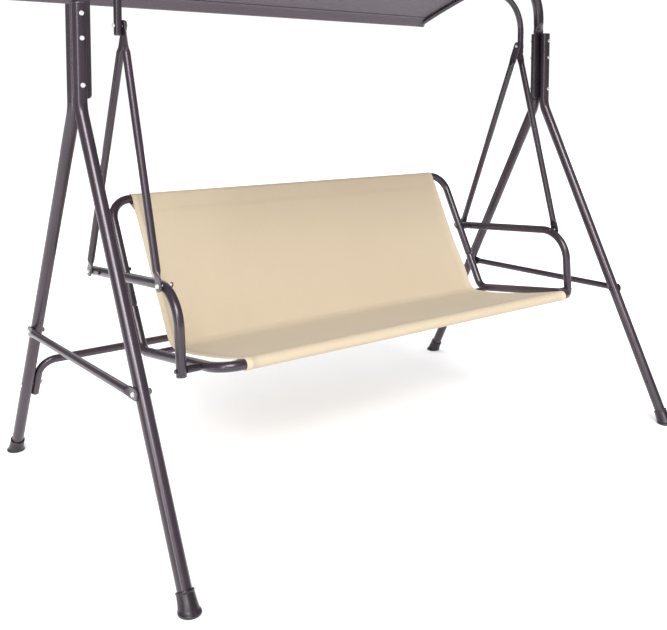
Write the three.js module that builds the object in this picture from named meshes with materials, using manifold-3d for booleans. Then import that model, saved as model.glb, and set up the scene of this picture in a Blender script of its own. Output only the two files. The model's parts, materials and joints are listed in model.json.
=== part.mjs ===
// Two-seat canopy swing bench: bolted tube frame, hanging sling seat and tilting canopy.
// Millimetres, +Z up. The sitter faces -Y, +X is to the right of someone looking along +Y,
// and the origin is on the floor under the middle of the bench.
import * as THREE from "three";
import { mergeVertices } from "three/addons/utils/BufferGeometryUtils.js";
import Module from "manifold-3d";

const wasm = await Module();
wasm.setup();

// ---------------------------------------------------------------- driving dimensions

const GAP = 0.3; // air between touching pieces
const WALL = 1.5; // wall of every steel tube
const SIDES = 10; // facets round a tube
const BORE_SIDES = 8; // facets round a tube's bore

const LEG_D = 32;
const LEG_X = 850; // plane of each side frame
const FOOT_Y = 525; // where a leg's axis meets the floor
const LEG_PAIR_Y = 20.3; // upright part of a leg, either side of the middle
const LEG_TOP = 1256;
const LEG_KNEE = 1005; // where the two straight stretches of a leg would cross
const LEG_BEND_R = 90;
const LEG_BOLTS = { low: 1062, middle: 1172, top: 1230 };

const BRACE_D = 20;
const BRACE_Z = 400;
const STRETCHER_D = 22;
const STRETCHER_Z = 297;
const STRETCHER_END_Z = 195;
const STRETCHER_BOLT_Z = 228;

const BEAM_D = 34;
const BEAM_X = 838; // axis of the beam's down-turned end
const BEAM_Z = 1458;
const BEAM_BEND_R = 155;
const BEAM_FLAT = { width: 49, thickness: 8, bottom: 1030, top: 1262, round: 1294 };
const BEAM_JOINT_X = 330;
const JOINT_LAP = 55; // length of a reduced end inside the next tube

const HANGER_D = 20;
const PIVOT_Z = 1208;
const HANGER_BAR_X = 743.4;
const HANGER_BAR_R = 120;
const HANGER_BAR_Z = 1378;
const HANGER_BAR_END = 1186;
const ROD_FLAT = { width: 29, thickness: 3.8, length: 30, at_pivot: 62, taper: 22, past_bolt: 14 };

const SEAT_D = 25;
const ARM_X = 712;
const RAIL_X = 650;
const SEAT_CORNER = { y: 84, z: 362 };
const FRONT_RAIL = { y: -318, z: 411 };
const TOP_RAIL = { y: 284, z: 745 };
const RAIL_CORNER_R = 60;
const SEAT_CORNER_R = 36;
const SEAT_JOINT_Z = 470;
const CROSS_RAIL = { d: 16, y: 54, z: 361 };
const ARM_REAR = { y: 266, z: 559 };
const ARM_ELBOW = { y: -230, z: 594 };
const ARM_POST_END = { y: -244, z: 388 };
const ARM_BEND_R = 95;
const REAR_ROD_BOLT = { y: 250, z: 560 };
const FRONT_ROD_BOLT = { y: -172, z: 590 };

const SLING_HALF_WIDTH = 588;
const CLOTH = 3; // thickness given to a cloth solid
const CLOTH_AIR = 0.9; // between a cloth solid and the tube that it wraps

const CANOPY_HALF_WIDTH = 874;
const CANOPY_ARM_X = 862;
const CANOPY_TUBE_D = 18;
const CANOPY_ROD_D = 16;
const CANOPY_PIVOT_Z = 1495; // axis of the middle rod, which the arms rest on
const CANOPY_R = 3455; // arch of the canopy's arms
const CANOPY_TILT = 11; // degrees, rear edge down
const CANOPY_REACH = { front: 630.6, rear: 650.6 }; // along an arm, from the pivot

const SADDLE = { x: 450, thickness: 24, waist: 25, top_r: 16, bottom_r: 17 };
const KNOB = { r: 14, lobes: 5, depth: 14, face: 28 };

const BOLT = { shank_r: 3, hole_r: 3.7, head_r: 6, head: 4.5, nut: 5 };

// ---------------------------------------------------------------- materials

const finishes = {
  frame: new THREE.MeshStandardMaterial({ color: 0x5d505b, roughness: 0.42, metalness: 0.35 }),
  steel: new THREE.MeshStandardMaterial({ color: 0xc9c9cc, roughness: 0.3, metalness: 0.9 }),
  plastic: new THREE.MeshStandardMaterial({ color: 0x4a4349, roughness: 0.6, metalness: 0 }),
  sling: new THREE.MeshStandardMaterial({ color: 0xddcbac, roughness: 0.85, metalness: 0 }),
  canopy: new THREE.MeshStandardMaterial({ color: 0x706770, roughness: 0.85, metalness: 0 }),
};

// ---------------------------------------------------------------- solids

function solid(geometry) {
  const bare = geometry.index ? geometry.toNonIndexed() : geometry.clone();
  bare.deleteAttribute("normal");
  bare.deleteAttribute("uv");
  const merged = mergeVertices(bare, 1e-3);
  return new wasm.Manifold(
    new wasm.Mesh({
      numProp: 3,
      vertProperties: merged.attributes.position.array,
      triVerts: new Uint32Array(merged.index.array),
    }),
  );
}

function geometryOf(body) {
  const { vertProperties, triVerts } = body.getMesh();
  return new THREE.BufferGeometry()
    .setAttribute("position", new THREE.BufferAttribute(vertProperties, 3))
    .setIndex(new THREE.BufferAttribute(triVerts, 1));
}

function mesh(name, shape, finish) {
  const geometry = shape.isBufferGeometry ? shape : geometryOf(shape);
  const made = new THREE.Mesh(geometry, finishes[finish]);
  made.name = name;
  return made;
}

const AXES = { x: [1, 0, 0], y: [0, 1, 0], z: [0, 0, 1] };

// A cylinder from one distance to another along an axis, through a point.
function bar(axis, at, from, to, r, sides = 6) {
  const direction = new THREE.Vector3(...AXES[axis]);
  const turn = new THREE.Quaternion().setFromUnitVectors(new THREE.Vector3(0, 1, 0), direction);
  const centre = new THREE.Vector3(...at);
  centre[axis] = (from + to) / 2;
  const geometry = new THREE.CylinderGeometry(r, r, to - from, sides);
  return solid(geometry.applyQuaternion(turn).translate(centre.x, centre.y, centre.z));
}

function drill(body, axis, holes, r = BOLT.hole_r) {
  const reach = 40;
  return holes.reduce((left, at) => {
    const middle = at[{ x: 0, y: 1, z: 2 }[axis]];
    return left.subtract(bar(axis, at, middle - reach, middle + reach, r));
  }, body);
}

// A hexagon bolt and nut along an axis; from and to are the faces that it clamps.
function bolt(axis, at, from, to, sleeve) {
  const head = bar(axis, at, from - GAP - BOLT.head, from - GAP, BOLT.head_r, 6);
  const nut = bar(axis, at, to + GAP, to + GAP + BOLT.nut, BOLT.head_r, 6);
  const shank = bar(axis, at, from - 1, to + 1, BOLT.shank_r);
  const whole = shank.add(head).add(nut);
  return sleeve ? whole.add(bar(axis, at, sleeve.from, sleeve.to, sleeve.r, 8)) : whole;
}

// ---------------------------------------------------------------- tubes

function circle(r, sides) {
  return Array.from({ length: sides }, (_, i) => {
    const angle = (2 * Math.PI * i) / sides;
    return new THREE.Vector2(r * Math.cos(angle), r * Math.sin(angle));
  });
}

function tubeSection(d) {
  const section = new THREE.Shape(circle(d / 2, SIDES));
  section.holes.push(new THREE.Path(circle(d / 2 - WALL, BORE_SIDES)));
  return section;
}

// A route of straight stretches joined by round bends, with a ring only where the shape needs one.
class Route extends THREE.Curve {
  constructor(points, radii, degreesPerRing = 24) {
    super();
    this.rings = [];
    const corners = points.map((p) => new THREE.Vector3(...p));
    this.ring(corners[0], corners[1].clone().sub(corners[0]));
    for (let i = 1; i < corners.length - 1; i += 1) {
      this.bend(corners[i - 1], corners[i], corners[i + 1], radii[i - 1], degreesPerRing);
    }
    const last = corners.length - 1;
    this.ring(corners[last], corners[last].clone().sub(corners[last - 1]));
  }

  ring(at, along) {
    this.rings.push({ at: at.clone(), along: along.clone().normalize() });
  }

  bend(before, corner, after, r, degreesPerRing) {
    const entering = corner.clone().sub(before).normalize();
    const leaving = after.clone().sub(corner).normalize();
    const angle = entering.angleTo(leaving);
    const start = corner.clone().addScaledVector(entering, -r * Math.tan(angle / 2));
    const inward = leaving.clone().addScaledVector(entering, -entering.dot(leaving)).normalize();
    const centre = start.clone().addScaledVector(inward, r);
    const count = Math.max(1, Math.ceil(THREE.MathUtils.radToDeg(angle) / degreesPerRing));
    for (let i = 0; i <= count; i += 1) {
      const a = (angle * i) / count;
      const at = centre
        .clone()
        .addScaledVector(inward, -r * Math.cos(a))
        .addScaledVector(entering, r * Math.sin(a));
      const along = entering.clone().multiplyScalar(Math.cos(a)).addScaledVector(inward, Math.sin(a));
      this.ring(at, along);
    }
  }

  // One more ring on a straight stretch, at a distance from either end.
  addRing(distance, fromEnd = false) {
    const end = fromEnd ? this.rings.length - 1 : 0;
    const { at, along } = this.rings[end];
    const ring = { at: at.clone().addScaledVector(along, fromEnd ? -distance : distance), along };
    this.rings.splice(fromEnd ? end : 1, 0, ring);
    return this;
  }

  get steps() {
    return this.rings.length - 1;
  }

  getPointAt(u) {
    return this.rings[Math.round(u * this.steps)].at.clone();
  }

  getTangentAt(u) {
    return this.rings[Math.round(u * this.steps)].along.clone();
  }
}

function sweep(section, route) {
  return new THREE.ExtrudeGeometry(section, { steps: route.steps, extrudePath: route });
}

const tube = (d, route) => sweep(tubeSection(d), route);

// Moves each vertex of a geometry by a function of its place.
function reshape(geometry, move) {
  const position = geometry.getAttribute("position");
  const point = new THREE.Vector3();
  for (let i = 0; i < position.count; i += 1) {
    point.fromBufferAttribute(position, i);
    move(point);
    position.setXYZ(i, point.x, point.y, point.z);
  }
  return geometry;
}

// Presses a round section flat: wide along the first direction, thin along the second.
function press(wide, thin, d, flat, share) {
  const r = Math.hypot(wide, thin);
  const angle = Math.atan2(thin, wide);
  const inner = r < (d - WALL) / 2;
  const halfWidth = flat.width / 2 - (inner ? WALL : 0);
  const halfThickness = flat.thickness / 2 - (inner ? WALL : 0);
  const steepness = 2 * Math.sin(angle);
  const pressed = [
    halfWidth * Math.cos(angle),
    halfThickness * THREE.MathUtils.clamp(steepness, -1, 1),
  ];
  return [
    THREE.MathUtils.lerp(wide, pressed[0], share),
    THREE.MathUtils.lerp(thin, pressed[1], share),
  ];
}

// A straight tube between bolts at z = 0 and above, both ends pressed flat in the YZ plane.
function flatEndedRod(d, between, topLength = ROD_FLAT.length) {
  const { length, taper, past_bolt: past } = ROD_FLAT;
  const route = new Route([[0, 0, -past], [0, 0, between + past]], []);
  route.addRing(length + taper).addRing(length);
  route.addRing(topLength + taper, true).addRing(topLength, true);
  const blank = reshape(tube(d, route), (p) => {
    const beyondFlat = Math.min(p.z + past - length, between + past - p.z - topLength);
    const share = THREE.MathUtils.clamp(1 - beyondFlat / taper, 0, 1);
    [p.y, p.x] = press(p.y, p.x, d, ROD_FLAT, share);
  });
  return drill(solid(blank), "x", [[0, 0, 0], [0, 0, between]]);
}

// Reduces the radius of a tube where a condition holds, so that it slides into the next tube.
function reduceEnd(geometry, d, centreOf, inLap) {
  const share = (d / 2 - WALL - 1.3) / (d / 2);
  return reshape(geometry, (p) => {
    if (inLap(p)) {
      const centre = centreOf(p);
      p.sub(centre).multiplyScalar(share).add(centre);
    }
  });
}

// ---------------------------------------------------------------- cloth

// A closed outline of even thickness along a row of points.
function strip(points, thickness) {
  const half = thickness / 2;
  const normals = points.map((_, i) => {
    const before = points[Math.max(0, i - 1)];
    const after = points[Math.min(points.length - 1, i + 1)];
    const along = after.clone().sub(before).normalize();
    return new THREE.Vector2(-along.y, along.x);
  });
  const near = points.map((p, i) => p.clone().addScaledVector(normals[i], half));
  const far = points.map((p, i) => p.clone().addScaledVector(normals[i], -half));
  return new THREE.Shape([...near, ...far.reverse()]);
}

// Points round a centre, from one angle in degrees to another.
function arc(centre, r, from, to, count) {
  return Array.from({ length: count + 1 }, (_, i) => {
    const angle = THREE.MathUtils.degToRad(THREE.MathUtils.lerp(from, to, i / count));
    return new THREE.Vector2(centre.y + r * Math.cos(angle), centre.z + r * Math.sin(angle));
  });
}

// Extrudes an outline drawn in Y and Z along X, the same amount either side of the middle.
function extrudeAcross(shape, halfWidth) {
  const geometry = new THREE.ExtrudeGeometry(shape, { depth: 2 * halfWidth, bevelEnabled: false });
  const turn = new THREE.Matrix4().makeBasis(
    new THREE.Vector3(0, 1, 0),
    new THREE.Vector3(0, 0, 1),
    new THREE.Vector3(1, 0, 0),
  );
  return geometry.applyMatrix4(turn).translate(-halfWidth, 0, 0);
}

// ---------------------------------------------------------------- side frames

const legSlope = (FOOT_Y - LEG_PAIR_Y) / LEG_KNEE;
const legY = (z) => FOOT_Y - legSlope * z;
const legLean = Math.atan(legSlope);

function leg(end) {
  const sign = end === "front" ? -1 : 1;
  const bottom = 14;
  const route = new Route(
    [
      [LEG_X, sign * legY(bottom), bottom],
      [LEG_X, sign * LEG_PAIR_Y, LEG_KNEE],
      [LEG_X, sign * LEG_PAIR_Y, LEG_TOP],
    ],
    [LEG_BEND_R],
    14,
  );
  const pairHoles = Object.values(LEG_BOLTS).map((z) => [LEG_X, sign * LEG_PAIR_Y, z]);
  const sideHoles = [[LEG_X, sign * legY(BRACE_Z), BRACE_Z]];
  if (end === "rear") sideHoles.push([LEG_X, legY(STRETCHER_BOLT_Z), STRETCHER_BOLT_Z]);
  return drill(drill(solid(tube(LEG_D, route)), "y", pairHoles), "x", sideHoles);
}

// A cup along the leg's axis on a flange that lies on the floor.
function footCap(end) {
  const sign = end === "front" ? -1 : 1;
  const along = (geometry, low, high) =>
    geometry
      .rotateX(Math.PI / 2)
      .translate(0, 0, (low + high) / 2)
      .rotateX(sign * legLean)
      .translate(LEG_X, sign * FOOT_Y, 0);
  const cup = solid(along(new THREE.CylinderGeometry(19.3, 21.3, 50, 12), -10, 40));
  const bore = solid(along(new THREE.CylinderGeometry(17.2, 17.2, 60, SIDES), 13, 73));
  const at = [LEG_X, sign * FOOT_Y, 0];
  const flange = bar("z", at, 0, 6, 25, 16);
  const floor = bar("z", at, -40, 0, 60);
  return cup.subtract(floor).add(flange).subtract(bore);
}

function sideBrace() {
  const between = 2 * legY(BRACE_Z);
  const x = LEG_X + LEG_D / 2 + GAP + ROD_FLAT.thickness / 2;
  const brace = mesh("", flatEndedRod(BRACE_D, between), "frame");
  brace.rotation.x = -Math.PI / 2;
  brace.position.set(x, -legY(BRACE_Z), BRACE_Z);
  return brace;
}

function rearStretcher() {
  const x = LEG_X - LEG_D / 2 - GAP - STRETCHER_D / 2;
  const end = [legY(STRETCHER_END_Z), STRETCHER_END_Z];
  const bend = [legY(STRETCHER_Z), STRETCHER_Z];
  const corners = [[-x, ...end], [-x, ...bend], [x, ...bend], [x, ...end]];
  const body = solid(tube(STRETCHER_D, new Route(corners, [45, 45])));
  return drill(body, "x", [-x, x].map((at) => [at, legY(STRETCHER_BOLT_Z), STRETCHER_BOLT_Z]));
}

// ---------------------------------------------------------------- beam and hanger bar

// From the flat tongue between the legs up, over the bend and in to the reduced end.
function beamEnd() {
  const inner = BEAM_JOINT_X - JOINT_LAP;
  const route = new Route(
    [[BEAM_X, 0, BEAM_FLAT.bottom], [BEAM_X, 0, BEAM_Z], [inner, 0, BEAM_Z]],
    [BEAM_BEND_R],
    18,
  );
  route.addRing(BEAM_FLAT.round - BEAM_FLAT.bottom).addRing(BEAM_FLAT.top - BEAM_FLAT.bottom);
  route.addRing(JOINT_LAP + 8, true).addRing(JOINT_LAP, true);
  const pressed = reshape(tube(BEAM_D, route), (p) => {
    if (p.z < BEAM_FLAT.top + 1) {
      const [wide, thin] = press(p.x - BEAM_X, p.y, BEAM_D, BEAM_FLAT, 1);
      p.x = BEAM_X + wide;
      p.y = thin;
    }
  });
  const onAxis = (p) => new THREE.Vector3(p.x, 0, BEAM_Z);
  const whole = reduceEnd(pressed, BEAM_D, onAxis, (p) => p.x < BEAM_JOINT_X + 1);
  const legHoles = Object.values(LEG_BOLTS).map((z) => [LEG_X, 0, z]);
  const jointHole = [BEAM_JOINT_X - JOINT_LAP / 2, 0, BEAM_Z];
  return drill(drill(solid(whole), "y", legHoles), "y", [jointHole]);
}

function beamCentre() {
  const end = BEAM_JOINT_X - GAP;
  const body = solid(tube(BEAM_D, new Route([[-end, 0, BEAM_Z], [end, 0, BEAM_Z]], [])));
  const hole = BEAM_JOINT_X - JOINT_LAP / 2;
  return drill(body, "y", [-hole, hole].map((x) => [x, 0, BEAM_Z]));
}

function hangerBar() {
  const corners = [
    [-HANGER_BAR_X, 0, HANGER_BAR_END],
    [-HANGER_BAR_X, 0, HANGER_BAR_Z],
    [HANGER_BAR_X, 0, HANGER_BAR_Z],
    [HANGER_BAR_X, 0, HANGER_BAR_END],
  ];
  const body = solid(tube(HANGER_D, new Route(corners, [HANGER_BAR_R, HANGER_BAR_R])));
  return drill(body, "x", [-HANGER_BAR_X, HANGER_BAR_X].map((x) => [x, 0, PIVOT_Z]));
}

// One casting clamped on the beam: the hanger bar below, the canopy's pivot rod above.
function beamSaddle() {
  const low = { y: 0, z: HANGER_BAR_Z };
  const high = { y: 0, z: CANOPY_PIVOT_Z };
  const outline = new THREE.Shape([
    ...arc(low, SADDLE.bottom_r, 180, 360, 6),
    new THREE.Vector2(SADDLE.waist, BEAM_Z - 12),
    new THREE.Vector2(SADDLE.waist, BEAM_Z + 12),
    ...arc(high, SADDLE.top_r, 0, 180, 6),
    new THREE.Vector2(-SADDLE.waist, BEAM_Z + 12),
    new THREE.Vector2(-SADDLE.waist, BEAM_Z - 12),
  ]);
  const bores = [
    [HANGER_BAR_Z, HANGER_D / 2],
    [BEAM_Z, BEAM_D / 2],
    [CANOPY_PIVOT_Z, CANOPY_TUBE_D / 2],
  ];
  for (const [z, r] of bores) {
    outline.holes.push(new THREE.Path(circle(r + 1.2, SIDES).map((p) => p.add({ x: 0, y: z }))));
  }
  const block = solid(extrudeAcross(outline, SADDLE.thickness / 2).translate(SADDLE.x, 0, 0));
  const screwHole = bar("y", [SADDLE.x, 0, CANOPY_PIVOT_Z], -KNOB.face, -9, 3.7);
  return block.subtract(screwHole);
}

// A lobed hand knob with its clamping screw, on the front of the saddle.
function tiltKnob() {
  const outline = Array.from({ length: KNOB.lobes * 4 }, (_, i) => {
    const angle = (2 * Math.PI * i) / (KNOB.lobes * 4);
    const r = KNOB.r + 2.2 * Math.cos(KNOB.lobes * angle);
    return new THREE.Vector2(r * Math.cos(angle), r * Math.sin(angle));
  });
  const head = new THREE.ExtrudeGeometry(new THREE.Shape(outline), {
    depth: KNOB.depth,
    bevelEnabled: false,
  })
    .rotateX(Math.PI / 2)
    .translate(SADDLE.x, -KNOB.face, CANOPY_PIVOT_Z);
  const tip = -CANOPY_TUBE_D / 2 - 0.6;
  const screw = bar("y", [SADDLE.x, 0, CANOPY_PIVOT_Z], -KNOB.face - 1, tip, 3);
  return solid(head).add(screw);
}

// ---------------------------------------------------------------- swing seat

const railZ = (y) =>
  SEAT_CORNER.z +
  ((SEAT_CORNER.y - y) / (SEAT_CORNER.y - FRONT_RAIL.y)) * (FRONT_RAIL.z - SEAT_CORNER.z);
const backY = (z) =>
  SEAT_CORNER.y +
  ((z - SEAT_CORNER.z) / (TOP_RAIL.z - SEAT_CORNER.z)) * (TOP_RAIL.y - SEAT_CORNER.y);
const armZ = (y) =>
  ARM_REAR.z + ((ARM_REAR.y - y) / (ARM_REAR.y - ARM_ELBOW.y)) * (ARM_ELBOW.z - ARM_REAR.z);
const postY = (z) =>
  ARM_POST_END.y +
  ((z - ARM_POST_END.z) / (ARM_ELBOW.z - ARM_POST_END.z)) * (ARM_ELBOW.y - ARM_POST_END.y);

const ARM_BOLT_Y = 190; // where an armrest passes its back stile
const POST_BOLT_Z = 401.9; // where an armrest's post passes its seat rail

// Both sides and the front of the seat, turned up at the rear to take the back frame.
function seatFrame() {
  const half = [
    [RAIL_X, backY(SEAT_JOINT_Z), SEAT_JOINT_Z],
    [RAIL_X, SEAT_CORNER.y, SEAT_CORNER.z],
    [RAIL_X, FRONT_RAIL.y, FRONT_RAIL.z],
  ];
  const corners = [...half, ...half.map(([x, y, z]) => [-x, y, z]).reverse()];
  const radii = [SEAT_CORNER_R, RAIL_CORNER_R, RAIL_CORNER_R, SEAT_CORNER_R];
  const body = solid(tube(SEAT_D, new Route(corners, radii)));
  return drill(body, "x", [-RAIL_X, RAIL_X].map((x) => [x, postY(POST_BOLT_Z), POST_BOLT_Z]));
}

function backFrame() {
  const along = Math.hypot(TOP_RAIL.y - SEAT_CORNER.y, TOP_RAIL.z - SEAT_CORNER.z);
  const rise = (TOP_RAIL.z - SEAT_CORNER.z) / along;
  const low = SEAT_JOINT_Z - (JOINT_LAP - GAP) * rise;
  const corners = [
    [RAIL_X, backY(low), low],
    [RAIL_X, TOP_RAIL.y, TOP_RAIL.z],
    [-RAIL_X, TOP_RAIL.y, TOP_RAIL.z],
    [-RAIL_X, backY(low), low],
  ];
  const route = new Route(corners, [RAIL_CORNER_R, RAIL_CORNER_R]);
  for (const fromEnd of [false, true]) route.addRing(JOINT_LAP + 8, fromEnd).addRing(JOINT_LAP, fromEnd);
  const up = new THREE.Vector2(backY(1) - backY(0), 1).normalize();
  const ringEnd = new THREE.Vector2(backY(low), low);
  const distanceUp = (p) => new THREE.Vector2(p.y, p.z).sub(ringEnd).dot(up);
  const centreOf = (p) => {
    const on = ringEnd.clone().addScaledVector(up, distanceUp(p));
    return new THREE.Vector3(Math.sign(p.x) * RAIL_X, on.x, on.y);
  };
  const reduced = reduceEnd(tube(SEAT_D, route), SEAT_D, centreOf, (p) => distanceUp(p) < JOINT_LAP + 1);
  const holes = [-RAIL_X, RAIL_X].map((x) => [x, ARM_BOLT_Y, armZ(ARM_BOLT_Y)]);
  return drill(solid(reduced), "x", holes);
}

function crossRail() {
  const end = RAIL_X - SEAT_D / 2 - GAP;
  const { d, y, z } = CROSS_RAIL;
  return tube(d, new Route([[-end, y, z], [end, y, z]], []));
}

function armrest() {
  const corners = [
    [ARM_X, ARM_REAR.y, ARM_REAR.z],
    [ARM_X, ARM_ELBOW.y, ARM_ELBOW.z],
    [ARM_X, ARM_POST_END.y, ARM_POST_END.z],
  ];
  const body = solid(tube(SEAT_D, new Route(corners, [ARM_BEND_R], 20)));
  return drill(body, "x", [
    [ARM_X, REAR_ROD_BOLT.y, REAR_ROD_BOLT.z],
    [ARM_X, FRONT_ROD_BOLT.y, FRONT_ROD_BOLT.z],
    [ARM_X, ARM_BOLT_Y, armZ(ARM_BOLT_Y)],
    [ARM_X, postY(POST_BOLT_Z), POST_BOLT_Z],
  ]);
}

const rearRodX = ARM_X + SEAT_D / 2 + GAP + ROD_FLAT.thickness / 2;
const frontRodX = rearRodX + ROD_FLAT.thickness + GAP;

function hangerRod(end) {
  const low = end === "rear" ? REAR_ROD_BOLT : FRONT_ROD_BOLT;
  const between = Math.hypot(low.y, PIVOT_Z - low.z);
  const rod = mesh("", flatEndedRod(HANGER_D, between, ROD_FLAT.at_pivot), "frame");
  rod.position.set(end === "rear" ? rearRodX : frontRodX, low.y, low.z);
  rod.rotation.x = Math.atan2(low.y, PIVOT_Z - low.z);
  return rod;
}

// The seat cloth: round the top rail, down the back, over the cross rail and round the front rail.
function sling() {
  const wrap = SEAT_D / 2 + CLOTH_AIR + CLOTH / 2;
  const backAngle = THREE.MathUtils.radToDeg(
    Math.atan2(TOP_RAIL.z - SEAT_CORNER.z, TOP_RAIL.y - SEAT_CORNER.y),
  );
  const top = arc(TOP_RAIL, wrap, -40, backAngle + 90, 7);
  const front = arc(FRONT_RAIL, wrap, 73, 300, 8);
  const crease = new THREE.Vector2(CROSS_RAIL.y - 4, CROSS_RAIL.z + CROSS_RAIL.d / 2 + 3.4);
  const hang = new THREE.SplineCurve([
    top[top.length - 1],
    new THREE.Vector2(168, 553),
    new THREE.Vector2(103, 445),
    new THREE.Vector2(72, 388),
    crease,
    new THREE.Vector2(10, 369),
    new THREE.Vector2(-90, 379.5),
    new THREE.Vector2(-220, 402.5),
    front[0],
  ]);
  const between = hang.getSpacedPoints(14).slice(1, -1);
  return extrudeAcross(strip([...top, ...between, ...front], CLOTH), SLING_HALF_WIDTH);
}

// ---------------------------------------------------------------- canopy

const armAbovePivot = CANOPY_TUBE_D + GAP;

// A point of an arm's axis, at a distance along its arch (rear positive), or of an arch above it.
function archPoint(distance, above = 0) {
  const tilt = THREE.MathUtils.degToRad(CANOPY_TILT);
  const angle = distance / CANOPY_R + tilt;
  const centreDown = CANOPY_R - armAbovePivot;
  const r = CANOPY_R + above;
  return new THREE.Vector2(
    r * Math.sin(angle) - centreDown * Math.sin(tilt),
    CANOPY_PIVOT_Z + r * Math.cos(angle) - centreDown * Math.cos(tilt),
  );
}

class Arch extends THREE.Curve {
  getPoint(u) {
    const p = archPoint(THREE.MathUtils.lerp(-CANOPY_REACH.front, CANOPY_REACH.rear, u));
    return new THREE.Vector3(CANOPY_ARM_X, p.x, p.y);
  }
}

function canopyArm() {
  return new THREE.ExtrudeGeometry(tubeSection(CANOPY_TUBE_D), { steps: 6, extrudePath: new Arch() });
}

function canopyEndRod(distance) {
  const end = CANOPY_ARM_X - CANOPY_TUBE_D / 2 - GAP;
  const { x: y, y: z } = archPoint(distance);
  return tube(CANOPY_ROD_D, new Route([[-end, y, z], [end, y, z]], []));
}

// The rod that the canopy tilts on, under both arms.
function canopyPivotRod() {
  const end = CANOPY_ARM_X + CANOPY_TUBE_D / 2;
  return tube(CANOPY_TUBE_D, new Route([[-end, 0, CANOPY_PIVOT_Z], [end, 0, CANOPY_PIVOT_Z]], []));
}

// The roof cloth: over both arms, round the front rod and round the rear rod.
function canopyCloth() {
  const above = CANOPY_TUBE_D / 2 + CLOTH_AIR + CLOTH / 2;
  const wrapAt = (distance, from, to) => {
    const { x: y, y: z } = archPoint(distance);
    return arc({ y, z }, above, from, to, 7);
  };
  const lean = (distance) => THREE.MathUtils.radToDeg(distance / CANOPY_R) + CANOPY_TILT;
  const { front, rear } = CANOPY_REACH;
  const roof = Array.from({ length: 9 }, (_, i) =>
    archPoint(THREE.MathUtils.lerp(rear, -front, (i + 1) / 10), above),
  );
  const points = [
    ...wrapAt(rear, -110 - lean(rear), 90 - lean(rear)),
    ...roof,
    ...wrapAt(-front, 90 - lean(-front), 290 - lean(-front)),
  ];
  return extrudeAcross(strip(points, CLOTH), CANOPY_HALF_WIDTH);
}

// ---------------------------------------------------------------- assembly

const bench = new THREE.Group();

const sideBolts = {
  brace_bolt_front: () => braceBolt(-1),
  brace_bolt_rear: () => braceBolt(1),
  stretcher_bolt: () => {
    const at = [0, legY(STRETCHER_BOLT_Z), STRETCHER_BOLT_Z];
    return bolt("x", at, LEG_X - LEG_D / 2 - GAP - STRETCHER_D, LEG_X + LEG_D / 2);
  },
  beam_joint_bolt: () => {
    const at = [BEAM_JOINT_X - JOINT_LAP / 2, 0, BEAM_Z];
    return bolt("y", at, -BEAM_D / 2, BEAM_D / 2);
  },
  pivot_bolt: () => {
    const from = rearRodX - ROD_FLAT.thickness / 2;
    return bolt("x", [0, 0, PIVOT_Z], from, HANGER_BAR_X + HANGER_D / 2);
  },
  rod_bolt_rear: () => rodBolt(REAR_ROD_BOLT, rearRodX),
  rod_bolt_front: () => rodBolt(FRONT_ROD_BOLT, frontRodX),
  arm_bolt: () => spacedBolt(ARM_BOLT_Y, armZ(ARM_BOLT_Y)),
  post_bolt: () => spacedBolt(postY(POST_BOLT_Z), POST_BOLT_Z),
};

function braceBolt(sign) {
  const outer = LEG_X + LEG_D / 2 + GAP + ROD_FLAT.thickness;
  return bolt("x", [0, sign * legY(BRACE_Z), BRACE_Z], LEG_X - LEG_D / 2, outer);
}

// Through an armrest and a hanger rod; a washer fills the step beside the front rod.
function rodBolt({ y, z }, rodX) {
  const face = ARM_X + SEAT_D / 2;
  const washer = { from: face + GAP, to: rodX - ROD_FLAT.thickness / 2 - GAP, r: 8 };
  const sleeve = washer.to - washer.from > 1 ? washer : undefined;
  return bolt("x", [0, y, z], ARM_X - SEAT_D / 2, rodX + ROD_FLAT.thickness / 2, sleeve);
}

// Through an armrest and a seat tube, with a sleeve that keeps them apart.
function spacedBolt(y, z) {
  const sleeve = { from: RAIL_X + SEAT_D / 2 + GAP, to: ARM_X - SEAT_D / 2 - GAP, r: 9 };
  return bolt("x", [0, y, z], RAIL_X - SEAT_D / 2, ARM_X + SEAT_D / 2, sleeve);
}

function legBolt(z) {
  const face = LEG_PAIR_Y + LEG_D / 2;
  return bolt("y", [LEG_X, 0, z], -face, face);
}

for (const [side, sign] of [["left", -1], ["right", 1]]) {
  const half = new THREE.Group();
  half.scale.x = sign;
  const add = (name, piece, finish) => {
    const made = piece.isMesh ? piece : mesh("", piece, finish);
    made.name = `${name}_${side}`;
    half.add(made);
  };
  for (const end of ["front", "rear"]) {
    add(`${end}_leg`, leg(end), "frame");
    add(`foot_cap_${end}`, footCap(end), "plastic");
    add(`hanger_rod_${end}`, hangerRod(end));
  }
  add("side_brace", sideBrace());
  add("beam_end", beamEnd(), "frame");
  add("beam_saddle", beamSaddle(), "frame");
  add("tilt_knob", tiltKnob(), "plastic");
  add("armrest", armrest(), "frame");
  add("canopy_arm", canopyArm(), "frame");
  for (const [place, z] of Object.entries(LEG_BOLTS)) add(`leg_bolt_${place}`, legBolt(z), "steel");
  for (const [name, make] of Object.entries(sideBolts)) add(name, make(), "steel");
  bench.add(half);
}

bench.add(
  mesh("rear_stretcher", rearStretcher(), "frame"),
  mesh("beam_centre", beamCentre(), "frame"),
  mesh("hanger_bar", hangerBar(), "frame"),
  mesh("seat_frame", seatFrame(), "frame"),
  mesh("back_frame", backFrame(), "frame"),
  mesh("seat_cross_rail", crossRail(), "frame"),
  mesh("seat_sling", sling(), "sling"),
  mesh("canopy_rod_front", canopyEndRod(-CANOPY_REACH.front), "frame"),
  mesh("canopy_rod_middle", canopyPivotRod(), "frame"),
  mesh("canopy_rod_rear", canopyEndRod(CANOPY_REACH.rear), "frame"),
  mesh("canopy_cloth", canopyCloth(), "canopy"),
);

export default bench;
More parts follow.
